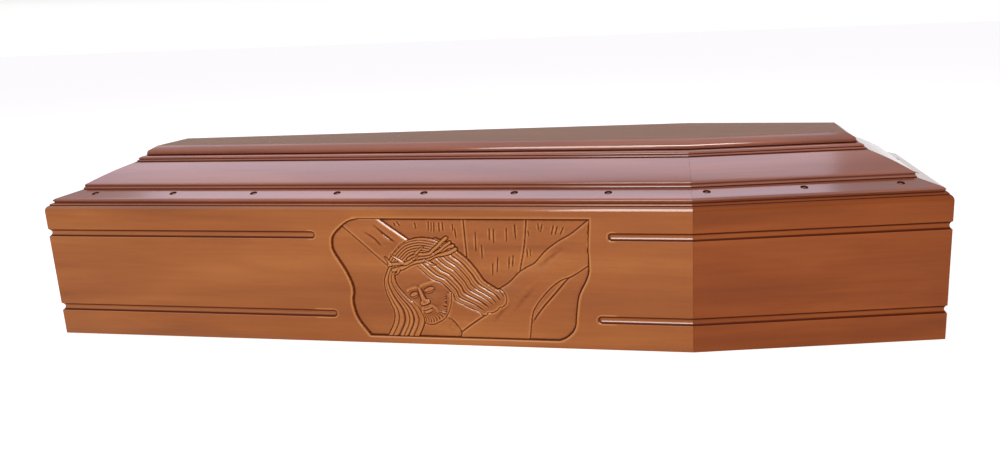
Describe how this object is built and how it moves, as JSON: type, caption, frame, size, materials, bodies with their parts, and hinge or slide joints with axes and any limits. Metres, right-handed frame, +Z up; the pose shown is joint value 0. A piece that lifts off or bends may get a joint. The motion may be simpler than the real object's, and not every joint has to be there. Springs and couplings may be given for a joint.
{
  "type": "wooden coffin",
  "caption": "Six-sided shouldered wooden coffin, hollow, with grooved sides, a relief carved on one long side, and a stepped, moulded lid that lifts off.",
  "frame": {"origin": "middle of the underside, on the ground, at half length and half width", "axes": "+X along the length towards the head end, -Y towards the carved long side, +Z up"},
  "size_m": [2, 0.7, 0.4176],
  "materials": {
    "foot_board_lacquer": "glossy red-brown lacquer",
    "head_board_lacquer": "glossy darker red-brown lacquer",
    "lid_lacquer": "glossy red-brown lacquer",
    "bare_wood": "plain sanded wood",
    "screw_metal": "bronzed steel, lacquered over"
  },
  "bodies": {
    "root": {"back_foot_side_board": "foot_board_lacquer", "back_head_side_board": "head_board_lacquer", "bottom_board": "bare_wood", "foot_end_board": "foot_board_lacquer", "front_foot_side_board": "foot_board_lacquer", "front_head_side_board": "head_board_lacquer", "head_end_board": "head_board_lacquer", "lid_panel_back_foot_side": "lid_lacquer", "lid_panel_back_head_side": "lid_lacquer", "lid_panel_foot_end": "lid_lacquer", "lid_panel_front_foot_side": "lid_lacquer", "lid_panel_front_head_side": "lid_lacquer", "lid_panel_head_end": "lid_lacquer", "lid_rim_back_foot_side": "lid_lacquer", "lid_rim_back_head_side": "lid_lacquer", "lid_rim_foot_end": "lid_lacquer", "lid_rim_front_foot_side": "lid_lacquer", "lid_rim_front_head_side": "lid_lacquer", "lid_rim_head_end": "lid_lacquer", "lid_step_back_foot_side": "lid_lacquer", "lid_step_back_head_side": "lid_lacquer", "lid_step_foot_end": "lid_lacquer", "lid_step_front_foot_side": "lid_lacquer", "lid_step_front_head_side": "lid_lacquer", "lid_step_head_end": "lid_lacquer", "lid_top_board": "lid_lacquer", "screw_back_foot_side_1": "screw_metal", "screw_back_foot_side_2": "screw_metal", "screw_back_foot_side_3": "screw_metal", "screw_back_foot_side_4": "screw_metal", "screw_back_foot_side_5": "screw_metal", "screw_back_foot_side_6": "screw_metal", "screw_back_foot_side_7": "screw_metal", "screw_back_head_side_1": "screw_metal", "screw_back_head_side_2": "screw_metal", "screw_back_head_side_3": "screw_metal", "screw_foot_end_1": "screw_metal", "screw_foot_end_2": "screw_metal", "screw_front_foot_side_1": "screw_metal", "screw_front_foot_side_2": "screw_metal", "screw_front_foot_side_3": "screw_metal", "screw_front_foot_side_4": "screw_metal", "screw_front_foot_side_5": "screw_metal", "screw_front_foot_side_6": "screw_metal", "screw_front_foot_side_7": "screw_metal", "screw_front_head_side_1": "screw_metal", "screw_front_head_side_2": "screw_metal", "screw_front_head_side_3": "screw_metal", "screw_head_end_1": "screw_metal", "screw_head_end_2": "screw_metal"}
  },
  "joints": []
}
